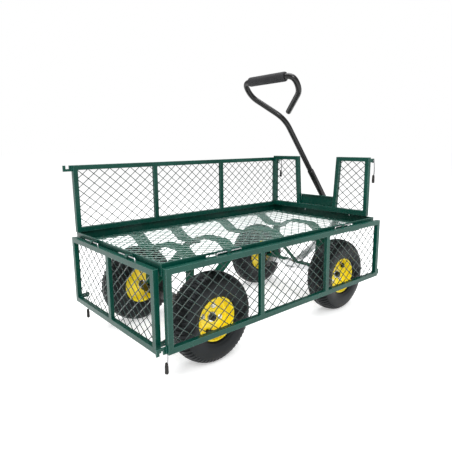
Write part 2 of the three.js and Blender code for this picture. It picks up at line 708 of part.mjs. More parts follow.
addPiece("front_frame", stand(frontGate(), frontPanel, false), GREEN);

// The mesh of each half of the gate is cut along the slanted inner post.
function gateMesh(sign) {
  const [v0, v1] = [frontPanel.bottom + TUBE + GAP, panelTop(frontPanel) - TUBE - GAP];
  const slant = (v) => NOTCH_LOW + TUBE + GAP + ((NOTCH_HIGH - NOTCH_LOW) * (v - v0)) / (v1 - v0);
  const outer = FRONT_WIDTH / 2 - TUBE - GAP;
  const outline = [[slant(v0), v0], [outer, v0], [outer, v1], [slant(v1), v1]];
  const holes = diamonds(slant(v1), outer, v0, v1, 1, 2, PANEL_WIRE);
  const turn = (points) => points.map(([u, v]) => [sign * u, v]);
  return meshPlate(frontPanel, turn(outline), holes.map(turn));
}
addPiece("front_mesh_left", stand(gateMesh(-1), frontPanel, false), GREEN);
addPiece("front_mesh_right", stand(gateMesh(1), frontPanel, false), GREEN);

function notchPlate() {
  const side = NOTCH_LOW - GAP;
  const foot = frontPanel.bottom + TUBE + GAP;
  const face = frontPanel.inner + TUBE;
  return join([
    block(-side, side, face - NOTCH_SHEET, face, foot, NOTCH_PLATE_TOP),
    block(-side, side, face - NOTCH_LEDGE, face, NOTCH_PLATE_TOP - NOTCH_SHEET, NOTCH_PLATE_TOP),
  ]);
}
addPiece("front_plate", stand(notchPlate(), frontPanel, false), GREEN);

// Latch wires with rubber caps, hanging from the gates' tabs
function latch(name, x, y, z, inward) {
  const wire = join([
    bar([x, y - inward * 2, z], [x, y + inward * (TAB_THICK + LATCH_TAIL), z], LATCH_WIRE, 8),
    bar([x, y, z + LATCH_WIRE * 0.9], [x, y, z - LATCH_DROP], LATCH_WIRE, 8),
  ]);
  addPiece(`latch_wire_${name}`, wire, STEEL);
  const cap = turned([[0, 0], [CAP_RADIUS, 0], [CAP_RADIUS, CAP_LENGTH], [LATCH_WIRE + GAP, CAP_LENGTH],
    [LATCH_WIRE + GAP, CAP_LENGTH - CAP_BORE], [0, CAP_LENGTH - CAP_BORE]], 10, false);
  cap.rotateX(Math.PI / 2);
  cap.translate(x, y, z - LATCH_DROP - CAP_LENGTH + CAP_BORE - GAP);
  addPiece(`latch_cap_${name}`, cap, RUBBER);
}

const frontLatchX = frontPanel.at[0] + frontPanel.inner + TUBE + FRONT_REACH;
const frontLatchZ = frontPanel.at[2] + TAB_HEIGHT;
const rearLatchX = rearPanel.at[0] + rearPanel.inner + TUBE + REAR_REACH;
const rearLatchZ = rearPanel.at[2] - TAB_HEIGHT;
for (const [side, sign] of SIDES) {
  latch(`front_${side}`, frontLatchX, sign * (FRONT_TAB + TAB_THICK + LATCH_INSET), frontLatchZ, -sign);
  latch(`rear_${side}`, rearLatchX, sign * (REAR_TAB + TAB_THICK + LATCH_INSET), rearLatchZ, -sign);
}

// Handle: lower tube on the drawbar's bolt, looped upper tube, and foam grip
const LOWER_RADIUS = 12.5;
const HANDLE_TAIL = 12; // length of the tube below its bolt
const LOOP_RADIUS = 10;
const SLEEVE_END = 314; // along the handle from its bolt
const LOOP_START = 576;
const GRIP_LINE = 161; // beyond the start of the loop
const GRIP_RADIUS = 16.5;
const GRIP_RIGHT = -94;
const GRIP_LEFT = 78;
const GRIP_EASE = 1.5;
const lean = THREE.MathUtils.degToRad(HANDLE_LEAN);
const alongHandle = new THREE.Vector3(-Math.sin(lean), 0, Math.cos(lean));

function handlePoint(y, along) {
  return new THREE.Vector3(HANDLE_PIVOT_X, y, HANDLE_PIVOT_Z).addScaledVector(alongHandle, along);
}

addPiece("handle_tube", join(
  [bar(handlePoint(0, -HANDLE_TAIL).toArray(), handlePoint(0, SLEEVE_END).toArray(), LOWER_RADIUS, 14)],
  [handleBoltHole()],
), BLACK);

// Corner points of the loop as Y, distance past the loop's start, and how far each bend is eased
const loopCorners = [[0, -8, 42], [110, 100, 28], [110, GRIP_LINE, 30], [-128, GRIP_LINE, 33],
  [-128, 103, 28]];
const loopEnd = [-33, 22];

function loopPath() {
  const path = new THREE.CurvePath();
  const stops = loopCorners.map(([y, s]) => handlePoint(y, LOOP_START + s));
  stops.push(handlePoint(loopEnd[0], LOOP_START + loopEnd[1]));
  let from = handlePoint(0, SLEEVE_END + GAP);
  loopCorners.forEach(([, , ease], i) => {
    const corner = stops[i];
    const into = corner.clone().add(from.clone().sub(corner).setLength(ease));
    const out = corner.clone().add(stops[i + 1].clone().sub(corner).setLength(ease));
    path.add(new THREE.LineCurve3(from, into));
    path.add(new THREE.QuadraticBezierCurve3(into, corner, out));
    from = out;
  });
  path.add(new THREE.LineCurve3(from, stops[stops.length - 1]));
  return path;
}

function loopTube() {
  const ring = new THREE.Shape();
  ring.absarc(0, 0, LOOP_RADIUS, 0, 2 * Math.PI, false);
  return weld(new THREE.ExtrudeGeometry(ring, { steps: 48, curveSegments: 4, extrudePath: loopPath() }));
}
addPiece("handle_loop", loopTube(), BLACK);

const gripBore = LOOP_RADIUS + 2 * GAP;
const grip = turned([[gripBore, GRIP_RIGHT], [GRIP_RADIUS - GRIP_EASE, GRIP_RIGHT],
  [GRIP_RADIUS, GRIP_RIGHT + 2 * GRIP_EASE], [GRIP_RADIUS, GRIP_LEFT - 2 * GRIP_EASE],
  [GRIP_RADIUS - GRIP_EASE, GRIP_LEFT], [gripBore, GRIP_LEFT]], 14, true);
grip.translate(...handlePoint(0, LOOP_START + GRIP_LINE).toArray());
addPiece("handle_grip", grip, FOAM);

export default cart;
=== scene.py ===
import json
import math

import bpy
from mathutils import Matrix, Vector


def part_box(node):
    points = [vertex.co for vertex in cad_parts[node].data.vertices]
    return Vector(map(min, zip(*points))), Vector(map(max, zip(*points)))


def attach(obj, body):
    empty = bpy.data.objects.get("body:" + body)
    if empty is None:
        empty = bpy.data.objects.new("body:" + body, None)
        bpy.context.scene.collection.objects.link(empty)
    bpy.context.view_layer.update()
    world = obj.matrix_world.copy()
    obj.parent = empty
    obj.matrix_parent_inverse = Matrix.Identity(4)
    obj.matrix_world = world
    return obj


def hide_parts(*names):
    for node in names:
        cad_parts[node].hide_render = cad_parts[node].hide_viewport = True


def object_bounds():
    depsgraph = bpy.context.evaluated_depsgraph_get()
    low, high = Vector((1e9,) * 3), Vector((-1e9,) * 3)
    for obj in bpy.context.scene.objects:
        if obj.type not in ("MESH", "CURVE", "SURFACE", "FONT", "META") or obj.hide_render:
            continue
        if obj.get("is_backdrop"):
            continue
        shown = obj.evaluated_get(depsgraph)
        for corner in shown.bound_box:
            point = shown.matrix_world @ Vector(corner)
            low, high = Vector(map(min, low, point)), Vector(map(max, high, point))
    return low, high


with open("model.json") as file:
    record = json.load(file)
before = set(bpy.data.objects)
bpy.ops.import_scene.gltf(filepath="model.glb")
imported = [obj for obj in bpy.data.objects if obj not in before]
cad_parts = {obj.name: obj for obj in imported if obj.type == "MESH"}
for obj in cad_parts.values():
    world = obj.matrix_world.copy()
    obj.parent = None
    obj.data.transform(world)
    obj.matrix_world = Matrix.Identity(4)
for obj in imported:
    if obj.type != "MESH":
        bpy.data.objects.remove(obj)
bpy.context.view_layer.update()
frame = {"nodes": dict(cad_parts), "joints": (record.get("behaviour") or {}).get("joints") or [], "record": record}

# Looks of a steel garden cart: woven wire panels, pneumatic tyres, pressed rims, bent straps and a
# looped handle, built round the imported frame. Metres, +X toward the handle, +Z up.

X, Y, Z = Vector((1, 0, 0)), Vector((0, 1, 0)), Vector((0, 0, 1))
SIDES = (("left", 1), ("right", -1))  # which way Y runs on each side of the cart

# All finishes
COAT_ROUGHNESS = 0.12
BEVEL_SAMPLES = 4
PATCH_SCALE = 9.0
GLOSS_SCALE = 30.0
RELIEF_DEPTH = 0.001
EDGE_HIGHLIGHT_SPAN = (0.72, 0.995)  # from full painted highlight to none, as how well eased and true normals agree
CREASE_ANGLE = math.radians(32)

# All shapes
EASE_LIMIT = 2.05  # the length of a side over the most that a bend may take of it
ROD_EASE = 0.0006
HEX_SHOULDER = 0.82  # share of a bolt head's height where its crown starts
HEX_CROWN = 0.88  # share of its radius left at the top

# Wire mesh
DIAMOND_WIDE = 0.038
DIAMOND_TALL = 0.0313
WIRE_RADIUS = 0.00125
WIRE_CRIMP = 0.0005  # how far each wire bows over and under the ones it crosses
SHORTEST_WIRE = 0.006
WIRE_STOPS = 4  # points along a wire for each diamond that it passes
WIRE_SHIFT = 1e-5  # keeps wires off the exact corners of an outline
GATE_SLANT = 0.013  # how much farther out the gate's inner post stands at its top

# Wheels, as radius and distance from the wheel's middle plane
TYRE_HALF = [(0.0640, 0.0310), (0.0665, 0.0345), (0.0700, 0.0362), (0.0725, 0.0364), (0.0760, 0.0380),
             (0.0850, 0.0400), (0.0950, 0.0410), (0.1040, 0.0404), (0.1115, 0.0385), (0.1180, 0.0345),
             (0.1235, 0.0285), (0.1270, 0.0210), (0.1291, 0.0110), (0.1300, 0.0)]
TYRE_STEP = 0.0024
TREAD_PITCHES = 60
SAMPLES_PER_PITCH = 6
TREAD_FOOT = 0.112  # radius below which the sidewall is smooth
TREAD_DEPTH = 0.0030
BLOCK_SHARE = 0.66
CENTRE_GROOVE = 0.009
CENTRE_SWAY = 0.003
CENTRE_WIDTH = 0.0022
CENTRE_DEPTH = 0.8 * TREAD_DEPTH
RIM_FACE = [(0.0145, 0.0045), (0.0180, 0.0034), (0.0245, 0.0034), (0.0260, 0.0050), (0.0385, 0.0050),
            (0.0405, 0.0032), (0.0490, 0.0028), (0.0535, 0.0058), (0.0562, 0.0140), (0.0575, 0.0270),
            (0.0592, 0.0304), (0.0612, 0.0315), (0.0630, 0.0310), (0.0636, 0.0290), (0.0610, 0.0240),
            (0.0595, 0.0100), (0.0595, -0.0100), (0.0610, -0.0240), (0.0636, -0.0290), (0.0630, -0.0310),
            (0.0612, -0.0315), (0.0592, -0.0304), (0.0572, -0.0270), (0.0560, -0.0100), (0.0510, -0.0042),
            (0.0145, -0.0040)]
HUB_RING = [(0.0088, 0.0080), (0.0140, 0.0080), (0.0146, 0.0072), (0.0146, -0.0282), (0.0140, -0.0290),
            (0.0088, -0.0290)]
RIM_SIDES = 72
BOLT_CIRCLE = 0.032
BOLT_SEAT = 0.0048
WASHER_RADIUS = 0.0078
WASHER_THICK = 0.0012
# Nut and stud, measured from the foot of the washer
NUT_SEAT = 0.0010
NUT_RADIUS = 0.0060
NUT_HEIGHT = 0.0042
STUD_SPAN = (0.0040, 0.0072)
STUD_RADIUS = 0.0030
VALVE_RADIUS = 0.0048
VALVE_FOOT = 0.0036  # from the wheel's middle plane
VALVE_RISE = 0.0105  # how far the valve stands off the rim before it bends over
VALVE_BACK = 0.0060  # from the middle of the valve back to its foot
VALVE_LENGTH = 0.0200
VALVE_LIFT = 0.0040  # how much farther off the rim its tip stands than its bend
VALVE_BEND = 0.006
WHEEL_PLACES = ["rear_left", "rear_right", "front_left", "front_right"]

# Bent strips
STRIP_THICK = 0.004
STRIP_BEND = 0.010
STRIP_CHAMFER = 0.0006
STRAP_REACHES = [0.052, 0.100, 0.170, 0.222, 0.2535]
LEG_REACH = 0.115  # from the middle of the bed to the middle of the strip
LEG_WIDTH = 0.038
BRACE_REACH = 0.040
BRACE_WIDTH = 0.020
FOOT_BACK = 0.292  # ends of a front leg's foot, ahead of the bed's centre
FOOT_FRONT = 0.322
FOOT_REACHES = (0.031, 0.133)  # and from the middle of the bed
FOOT_WIDTH = 0.028
FOOT_THICK = 0.0036

# Front beam, yokes and tie rods
BEAM_LEVEL = 0.128
BEAM_WIDTH = 0.028
BEAM_DEPTH = 0.020
BEAM_INSET = 0.026  # from the outer face of a yoke
YOKE_TOP = 0.168
YOKE_THICK = 0.005
YOKE_WIDTH = 0.024
YOKE_DEPTH = 0.0235  # from the ends of its lugs to the middle of its web
YOKE_BEND = 0.005
KINGPIN_INSET = 0.011
KINGPIN_HEAD = 0.008
TIE_RADIUS = 0.004
TIE_INSET = 0.007
EYE_RADIUS = 0.0069
EYE_HALF = 0.0048
EYE_EASE = 0.0015

# Handle
HANDLE_LEAN = math.radians(38.5)
SLEEVE_RADIUS = 0.0125
SLEEVE_SPAN = (-0.012, 0.314)  # from the bolt
SLEEVE_EASE = 0.0012
LOOP_RADIUS = 0.010
# Corners of the loop as distance to the left, distance from the bolt, and how far the bend is eased
LOOP_CORNERS = [(0.0, 0.568, 0.042), (0.110, 0.676, 0.028), (0.110, 0.737, 0.030),
                (-0.128, 0.737, 0.033), (-0.128, 0.679, 0.028)]
LOOP_END = (-0.033, 0.598)
# Ends of the grip, as distance from the end and share of its full radius
GRIP_END = [(0.0, 0.78), (0.0008, 0.90), (0.0030, 0.98), (0.0060, 1.0)]
BOLT_RADIUS = 0.005
BOLT_HEAD = 0.0090
BOLT_HEAD_HEIGHT = 0.0050
BOLT_END = 0.002  # how far the bolt's shank stops short of its heads' faces

# Hinge pins and latches
PIN_RADIUS = 0.0017
PIN_EASE = 0.004
PIN_TURN = 0.004  # from the end of the pin to where it turns down
PIN_TIP = 0.002  # from the end of the pin to the foot of its tail
PIN_TAIL = 0.012
LATCH_RADIUS = 0.0018
LATCH_PIVOT = 0.0085
LATCH_DROP = 0.070
LATCH_BOW = 0.0060
LATCH_EASES = [0.0035, 0.018]
COIL_RADIUS = 0.0070
COIL_WIRE = 0.0015
COIL_PLACE = 0.0042
# Cap as height above its foot and radius
CAP_OUTLINE = [(0.0, 0.0036), (0.0010, 0.0046), (0.0040, 0.0050), (0.0200, 0.0047), (0.0270, 0.0041),
               (0.0300, 0.0032)]

# Floor, light and camera
FLOOR_HALF = 30.0
FLOOR_GLOW = 0.45
ROOM_LIGHT = 0.6  # strength of the backdrop as a light; it is seen at full strength
AIM = (0, 0, 0.3)
KEY_PLACE = (-1.6, -2.2, 2.6)
KEY_SIZE = 1.6
KEY_POWER = 62.0
TOP_PLACE = (0.2, 0.3, 3.0)
TOP_SIZE = 2.4
TOP_POWER = 80.0
CAMERA_PLACE = (-1.0475, -1.0943, 0.6080)
CAMERA_YAW = math.radians(49.415)
CAMERA_PITCH = math.radians(-10.158)
CAMERA_ROLL = math.radians(0.58)
CAMERA_LENS = 34.06
CAMERA_SENSOR = 36.0
CAMERA_SHIFT = (-0.0009, -0.0126)

joints = {joint["name"]: joint for joint in frame["joints"]}
node_slots = {part["node"]: part["material_slot"] for part in frame["record"]["subparts"]}
finishes = {}


# Materials ----------------------------------------------------------------------------------------

def noise(tree, scale, detail=3.0):
    """Noise texture that sits still on its own piece."""
    place = tree.nodes.new("ShaderNodeTexCoord")
    texture = tree.nodes.new("ShaderNodeTexNoise")
    texture.inputs["Scale"].default_value = scale
    texture.inputs["Detail"].default_value = detail
    tree.links.new(place.outputs["Object"], texture.inputs["Vector"])
    return texture.outputs["Fac"]


def spread(tree, source, low, high, from_low=0.3, from_high=0.7):
    """The source's middle range stretched to run from low to high."""
    node = tree.nodes.new("ShaderNodeMapRange")
    node.inputs["From Min"].default_value = from_low
    node.inputs["From Max"].default_value = from_high
    node.inputs["To Min"].default_value = low
    node.inputs["To Max"].default_value = high
    tree.links.new(source, node.inputs["Value"])
    return node.outputs["Result"]


def mixed(tree, share, first, second):
    """Colour that runs from first to second with share; either may be a colour or a socket."""
    node = tree.nodes.new("ShaderNodeMix")
    node.data_type = "RGBA"
    tree.links.new(share, node.inputs[0])
    for socket, colour in ((node.inputs[6], first), (node.inputs[7], second)):
        if isinstance(colour, tuple):
            socket.default_value = (*colour, 1.0)
        else:
            tree.links.new(colour, socket)
    return node.outputs[2]


def painted_edge_highlight(tree, eased):
    """How strongly a point sits on a hard edge, from 0 to 1: the mask of the painted edge highlight."""
    shape = tree.nodes.new("ShaderNodeNewGeometry")
    dot = tree.nodes.new("ShaderNodeVectorMath")
    dot.operation = "DOT_PRODUCT"
    tree.links.new(shape.outputs["Normal"], dot.inputs[0])
    tree.links.new(eased, dot.inputs[1])
    return spread(tree, dot.outputs["Value"], 1.0, 0.0, *EDGE_HIGHLIGHT_SPAN)


def finish(slot, dark, light, edge, roughness, grain, relief, metallic=0.0, specular=0.5, coat=0.0,
           painted_reflection_tint=(1.0, 1.0, 1.0), ease=0.0012):
    """One finish: patchy colour, uneven gloss, fine relief, and eased edges lit by a painted highlight in the edge
    colour.
    """
    material = bpy.data.materials.new(slot)
    material.use_nodes = True
    tree = material.node_tree
    surface = tree.nodes["Principled BSDF"]
    surface.inputs["Metallic"].default_value = metallic
    surface.inputs["Specular IOR Level"].default_value = specular
    surface.inputs["Specular Tint"].default_value = (*painted_reflection_tint, 1.0)
    surface.inputs["Coat Weight"].default_value = coat
    surface.inputs["Coat Roughness"].default_value = COAT_ROUGHNESS
    bevel = tree.nodes.new("ShaderNodeBevel")
    bevel.samples = BEVEL_SAMPLES
    bevel.inputs["Radius"].default_value = ease
    patches = spread(tree, noise(tree, PATCH_SCALE), 0.0, 1.0)
    body = mixed(tree, patches, dark, light)
    # Painted highlight: hard edges take the edge colour
    tree.links.new(mixed(tree, painted_edge_highlight(tree, bevel.outputs["Normal"]), body, edge),
                   surface.inputs["Base Color"])
    tree.links.new(spread(tree, noise(tree, GLOSS_SCALE), *roughness), surface.inputs["Roughness"])
    bump = tree.nodes.new("ShaderNodeBump")
    bump.inputs["Strength"].default_value = relief
    bump.inputs["Distance"].default_value = RELIEF_DEPTH
    tree.links.new(noise(tree, grain, 4.0), bump.inputs["Height"])
    tree.links.new(bevel.outputs["Normal"], bump.inputs["Normal"])
    tree.links.new(bump.outputs["Normal"], surface.inputs["Normal"])
    finishes[slot] = material


# The third colour of each finish is the painted highlight along its hard edges
finish("green_powder_coat", (0.0010, 0.042, 0.029), (0.0018, 0.060, 0.042), (0.100, 0.260, 0.225),
       (0.22, 0.32), 700.0, 0.08, specular=0.22, coat=0.10, ease=0.0022)
finish("strap_coat", (0.0008, 0.050, 0.028), (0.0014, 0.070, 0.042), (0.030, 0.120, 0.090), (0.42, 0.55),
       700.0, 0.08, specular=0.12)
# Panel and gate wires: a darker copy of the green coat, painted shade
finish("mesh_wire_painted_shade", (0.0040, 0.020, 0.016), (0.0080, 0.032, 0.025), (0.030, 0.080, 0.068), (0.18, 0.30),
       900.0, 0.05, specular=0.50, coat=0.25)
# Bed wires: a lighter copy of the green coat, a painted highlight from the top light
finish("bed_wire_painted_highlight", (0.008, 0.072, 0.050), (0.026, 0.130, 0.100), (0.150, 0.290, 0.245), (0.12, 0.22),
       900.0, 0.05, specular=0.85, coat=0.60)
finish("yellow_paint", (0.99, 0.74, 0.008), (1.00, 0.81, 0.014), (0.98, 0.84, 0.12), (0.26, 0.38), 500.0,
       0.06, specular=0.4, coat=0.2)
# The tyres' blue specular tint is a painted reflection of the softbox light
finish("tyre_rubber", (0.0042, 0.0050, 0.0044), (0.0075, 0.0086, 0.0078), (0.022, 0.024, 0.023),
       (0.32, 0.48), 900.0, 0.14, specular=0.24, painted_reflection_tint=(0.84, 0.90, 1.0), ease=0.0008)
finish("black_steel", (0.0034, 0.0034, 0.0036), (0.0052, 0.0052, 0.0054), (0.030, 0.030, 0.031),
       (0.20, 0.28), 600.0, 0.02, specular=0.36, coat=0.12)
finish("grip_foam", (0.018, 0.018, 0.020), (0.024, 0.024, 0.026), (0.040, 0.040, 0.043), (0.66, 0.80),
       1100.0, 0.22, specular=0.35)
finish("zinc_steel", (0.58, 0.59, 0.60), (0.76, 0.77, 0.78), (0.88, 0.88, 0.89), (0.20, 0.36), 450.0,
       0.12, metallic=1.0, ease=0.0006)
# Latch wires: a darker copy of the zinc, a painted dark reflection
finish("zinc_wire_painted_dark", (0.28, 0.28, 0.29), (0.40, 0.40, 0.41), (0.50, 0.50, 0.50), (0.22, 0.36), 450.0,
       0.10, metallic=1.0, ease=0.0006)
finish("cap_rubber", (0.012, 0.011, 0.010), (0.020, 0.018, 0.017), (0.035, 0.033, 0.030), (0.55, 0.72),
       900.0, 0.20, specular=0.4)


# Shapes: each is a pair of vertices and faces -----------------------------------------------------

def merged(shapes):
    """Several shapes as one."""
    vertices, faces = [], []
    for some_vertices, some_faces in shapes:
        start = len(vertices)
        vertices += some_vertices
        faces += [tuple(start + i for i in face) for face in some_faces]
    return vertices, faces


def skin(rings, closed_length=False):
    """Surface through rings of equal count, capped at both ends unless its length closes on itself."""
    sides = len(rings[0])
    vertices = [point for ring in rings for point in ring]
    faces = []
    spans = len(rings) if closed_length else len(rings) - 1
    for i in range(spans):
        here, there = i * sides, ((i + 1) % len(rings)) * sides
        for j in range(sides):
            k = (j + 1) % sides
            faces.append((here + j, here + k, there + k, there + j))
    if not closed_length:
        faces.append(tuple(reversed(range(sides))))
        faces.append(tuple(range(len(vertices) - sides, len(vertices))))
    return vertices, faces


def tube(points, radii, sides):
    """Round bar along a line of points; radii is one number or one for each point."""
    if isinstance(radii, float):
        radii = [radii] * len(points)
    rings = []
    side = None
    for i, (point, radius) in enumerate(zip(points, radii)):
        run = (points[min(i + 1, len(points) - 1)] - points[max(i - 1, 0)]).normalized()
        side = run.orthogonal() if side is None else side - run * side.dot(run)
        side.normalize()
        up = run.cross(side)
        rings.append([point + radius * (math.cos(a) * side + math.sin(a) * up)
                      for a in (2 * math.pi * k / sides for k in range(sides))])
    return skin(rings)


def rod(start, end, radius, sides=24, ease=ROD_EASE):
    """Straight round bar with eased ends."""
    run = (end - start).normalized()
    ease = min(ease, radius / 2)
    points = [start, start + run * ease, end - run * ease, end]
    return tube(points, [radius - ease, radius, radius, radius - ease], sides)


def turned(outline, centre, sides):
    """Closed outline of radius and Y, turned about the Y axis through centre."""
    rings = []
    for k in range(sides):
        angle = 2 * math.pi * k / sides
        rings.append([centre + Vector((r * math.cos(angle), y, r * math.sin(angle))) for r, y in outline])
    return skin(rings, closed_length=True)


def eased_line(points, ease, steps=6):
    """Line of points with each inner corner replaced by a smooth bend."""
    eases = ease if isinstance(ease, list) else [ease] * (len(points) - 2)
    line = [points[0]]
    for before, corner, after, reach in zip(points, points[1:], points[2:], eases):
        shorter = min((before - corner).length, (after - corner).length)
        reach = min(reach, shorter / EASE_LIMIT)
        start = corner + (before - corner).normalized() * reach
        end = corner + (after - corner).normalized() * reach
        for k in range(steps + 1):
            t = k / steps
            line.append((1 - t) ** 2 * start + 2 * t * (1 - t) * corner + t ** 2 * end)
    return line + [points[-1]]


def strip(line, across, width, thick=STRIP_THICK):
    """Flat bar bent along a line, width wide in the direction across."""
    half, deep = width / 2, thick / 2
    flat, edge = half - STRIP_CHAMFER, deep - STRIP_CHAMFER
    section = [(-flat, -deep), (flat, -deep), (half, -edge), (half, edge),
               (flat, deep), (-flat, deep), (-half, edge), (-half, -edge)]
    rings = []
    for i, point in enumerate(line):
        run = (line[min(i + 1, len(line) - 1)] - line[max(i - 1, 0)]).normalized()
        normal = run.cross(across).normalized()
        rings.append([point + across * a + normal * n for a, n in section])
    return skin(rings)


def hexagon(centre, along, radius, height):
    """Bolt head or nut that stands from centre in the direction along."""
    points = [centre, centre + along * height * HEX_SHOULDER, centre + along * height]
    return tube(points, [radius, radius, radius * HEX_CROWN], sides=6)


def add_piece(name, shape, slot, body, replaced=(), look=None):
    """One visible piece riding on its body, in its slot's finish unless another look is named."""
    vertices, faces = shape
    mesh = bpy.data.meshes.new(name)
    mesh.from_pydata([tuple(v) for v in vertices], [], faces)
    mesh.validate()
    mesh.polygons.foreach_set("use_smooth", [True] * len(mesh.polygons))
    mesh.set_sharp_from_angle(angle=CREASE_ANGLE)
    mesh.materials.append(finishes[look or slot])
    piece = bpy.data.objects.new(name, mesh)
    bpy.context.scene.collection.objects.link(piece)
    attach(piece, body)
    if replaced:
        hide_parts(*replaced)


# Wire mesh ----------------------------------------------------------------------------------------

def inside(start, run, outline):
    """Where a line enters and leaves a convex outline, in steps of run, or None."""
    low, high = -math.inf, math.inf
    for corner, after in zip(outline, outline[1:] + outline[:1]):
        edge = after - corner
        inward = Vector((-edge.y, edge.x))
        slope = inward.dot(run)
        reach = inward.dot(corner - start) / slope
        if slope > 0:
            low = max(low, reach)
        else:
            high = min(high, reach)
    return (low, high) if (high - low) * run.length > SHORTEST_WIRE else None


def woven(origin, across, up, outline):
    """Diagonal wires in two directions, woven over and under, inside a convex outline."""
    out = across.cross(up)
    span = max(abs(p.x) / DIAMOND_WIDE + abs(p.y) / DIAMOND_TALL for p in outline)
    wires = []
    for lean in (1, -1):
        run = Vector((DIAMOND_WIDE, -lean * DIAMOND_TALL))
        for n in range(-math.ceil(span), math.ceil(span) + 1):
            start = Vector((n * DIAMOND_WIDE + WIRE_SHIFT, 0.0))
            found = inside(start, run, outline)
            if found is None:
                continue
            low, high = found
            inner = range(math.floor(WIRE_STOPS * low) + 1, math.ceil(WIRE_STOPS * high))
            stops = [k / WIRE_STOPS for k in inner]
            points = []
            for t in [low, *stops, high]:
                place = start + run * t
                crimp = lean * WIRE_CRIMP * math.cos(2 * math.pi * t)
                points.append(origin + across * place.x + up * place.y + out * crimp)
            wires.append(tube(points, WIRE_RADIUS, sides=6))
    return merged(wires)


def rectangle(half_a, half_b):
    """Corners of a rectangle round the origin."""
    return [Vector((-half_a, -half_b)), Vector((half_a, -half_b)), Vector((half_a, half_b)),
            Vector((-half_a, half_b))]


# The bed's wires take the painted-highlight copy of the green coat, the panels' wires the painted-shade copy
for node, across, up, body, look in (("bed_mesh", X, Y, "chassis", "bed_wire_painted_highlight"),
                                     ("left_mesh", X, Z, "left_side", "mesh_wire_painted_shade"),
                                     ("right_mesh", X, Z, "right_side", "mesh_wire_painted_shade"),
                                     ("rear_mesh", Y, Z, "rear_gate", "mesh_wire_painted_shade")):
    low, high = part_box(node)
    half = (high - low) / 2
    outline = rectangle(half.dot(across), half.dot(up))
    add_piece(f"{node}_wires", woven((low + high) / 2, across, up, outline), "green_powder_coat", body,
              [node], look)

for side, sign in SIDES:
    node = f"front_mesh_{side}"
    low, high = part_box(node)
    half = (high - low) / 2
    outline = rectangle(half.y, half.z)
    top_inner = outline[3] if sign > 0 else outline[2]
    top_inner.x += sign * GATE_SLANT
    # The gate's wires take the painted-shade copy of the green coat
    add_piece(f"{node}_wires", woven((low + high) / 2, Y, Z, outline), "green_powder_coat", "front_gate",
              [node], "mesh_wire_painted_shade")


# Wheels -------------------------------------------------------------------------------------------

def even_steps(points, step):
    """Smooth curve through points of radius and Y, sampled about every step."""
    knots = [Vector(p) for p in points]
    line = []
    for i in range(len(knots) - 1):
        a, b = knots[max(i - 1, 0)], knots[i]
        c, d = knots[i + 1], knots[min(i + 2, len(knots) - 1)]
        count = max(1, round((c - b).length / step))
        for k in range(count):
            t = k / count
            line.append(0.5 * (2 * b + (c - a) * t + (2 * a - 5 * b + 4 * c - d) * t ** 2
                               + (3 * b - a - 3 * c + d) * t ** 3))
    return line + [knots[-1]]


def tread_cut(turn, radius, y):
    """How deep the tread is cut at a place, with turn counted in tread pitches."""
    if radius < TREAD_FOOT:
        return 0.0
    phase = (turn + (0.5 if y > 0 else 0.0)) % 1.0
    sway = CENTRE_SWAY * (1 if phase < 0.5 else -1)
    if abs(abs(y) - CENTRE_GROOVE - sway) < CENTRE_WIDTH:
        return CENTRE_DEPTH
    if abs(y) > CENTRE_GROOVE + CENTRE_SWAY and phase > BLOCK_SHARE:
        return TREAD_DEPTH
    return 0.0


def tyre_shape(centre):
    """Tyre with smooth sidewalls and staggered tread blocks that wrap its shoulders."""
    half = even_steps(TYRE_HALF, TYRE_STEP)
    profile = [Vector((p.x, -p.y)) for p in half] + [p.copy() for p in reversed(half[:-1])]
    normals = []
    for i in range(len(profile)):
        run = profile[min(i + 1, len(profile) - 1)] - profile[max(i - 1, 0)]
        normals.append(Vector((run.y, -run.x)).normalized())
    sides = TREAD_PITCHES * SAMPLES_PER_PITCH
    rings = []
    for k in range(sides):
        angle = 2 * math.pi * k / sides
        ring = []
        for place, normal in zip(profile, normals):
            cut = tread_cut(k / SAMPLES_PER_PITCH, place.x, place.y)
            radius, y = place - normal * cut
            ring.append(centre + Vector((radius * math.cos(angle), y, radius * math.sin(angle))))
        rings.append(ring)
    return skin(rings, closed_length=True)


def wheel_bolts(centre, out, directions):
    """Bolts with washer, nut and stud, one in each direction from the wheel's centre."""
    shapes = []
    for direction in directions:
        foot = centre + direction * BOLT_CIRCLE + out * BOLT_SEAT
        shapes.append(rod(foot, foot + out * WASHER_THICK, WASHER_RADIUS))
        shapes.append(hexagon(foot + out * NUT_SEAT, out, NUT_RADIUS, NUT_HEIGHT))
        shapes.append(rod(foot + out * STUD_SPAN[0], foot + out * STUD_SPAN[1], STUD_RADIUS))
    return merged(shapes)


def valve_stem(root, out, tangent):
    """Short stem that stands off the rim and bends over along the tangent."""
    foot = root + out * VALVE_FOOT - tangent * VALVE_BACK
    bend = foot + out * VALVE_RISE
    tip = bend + out * VALVE_LIFT + tangent * VALVE_LENGTH
    return tube(eased_line([foot, bend, tip], VALVE_BEND), VALVE_RADIUS, sides=20)


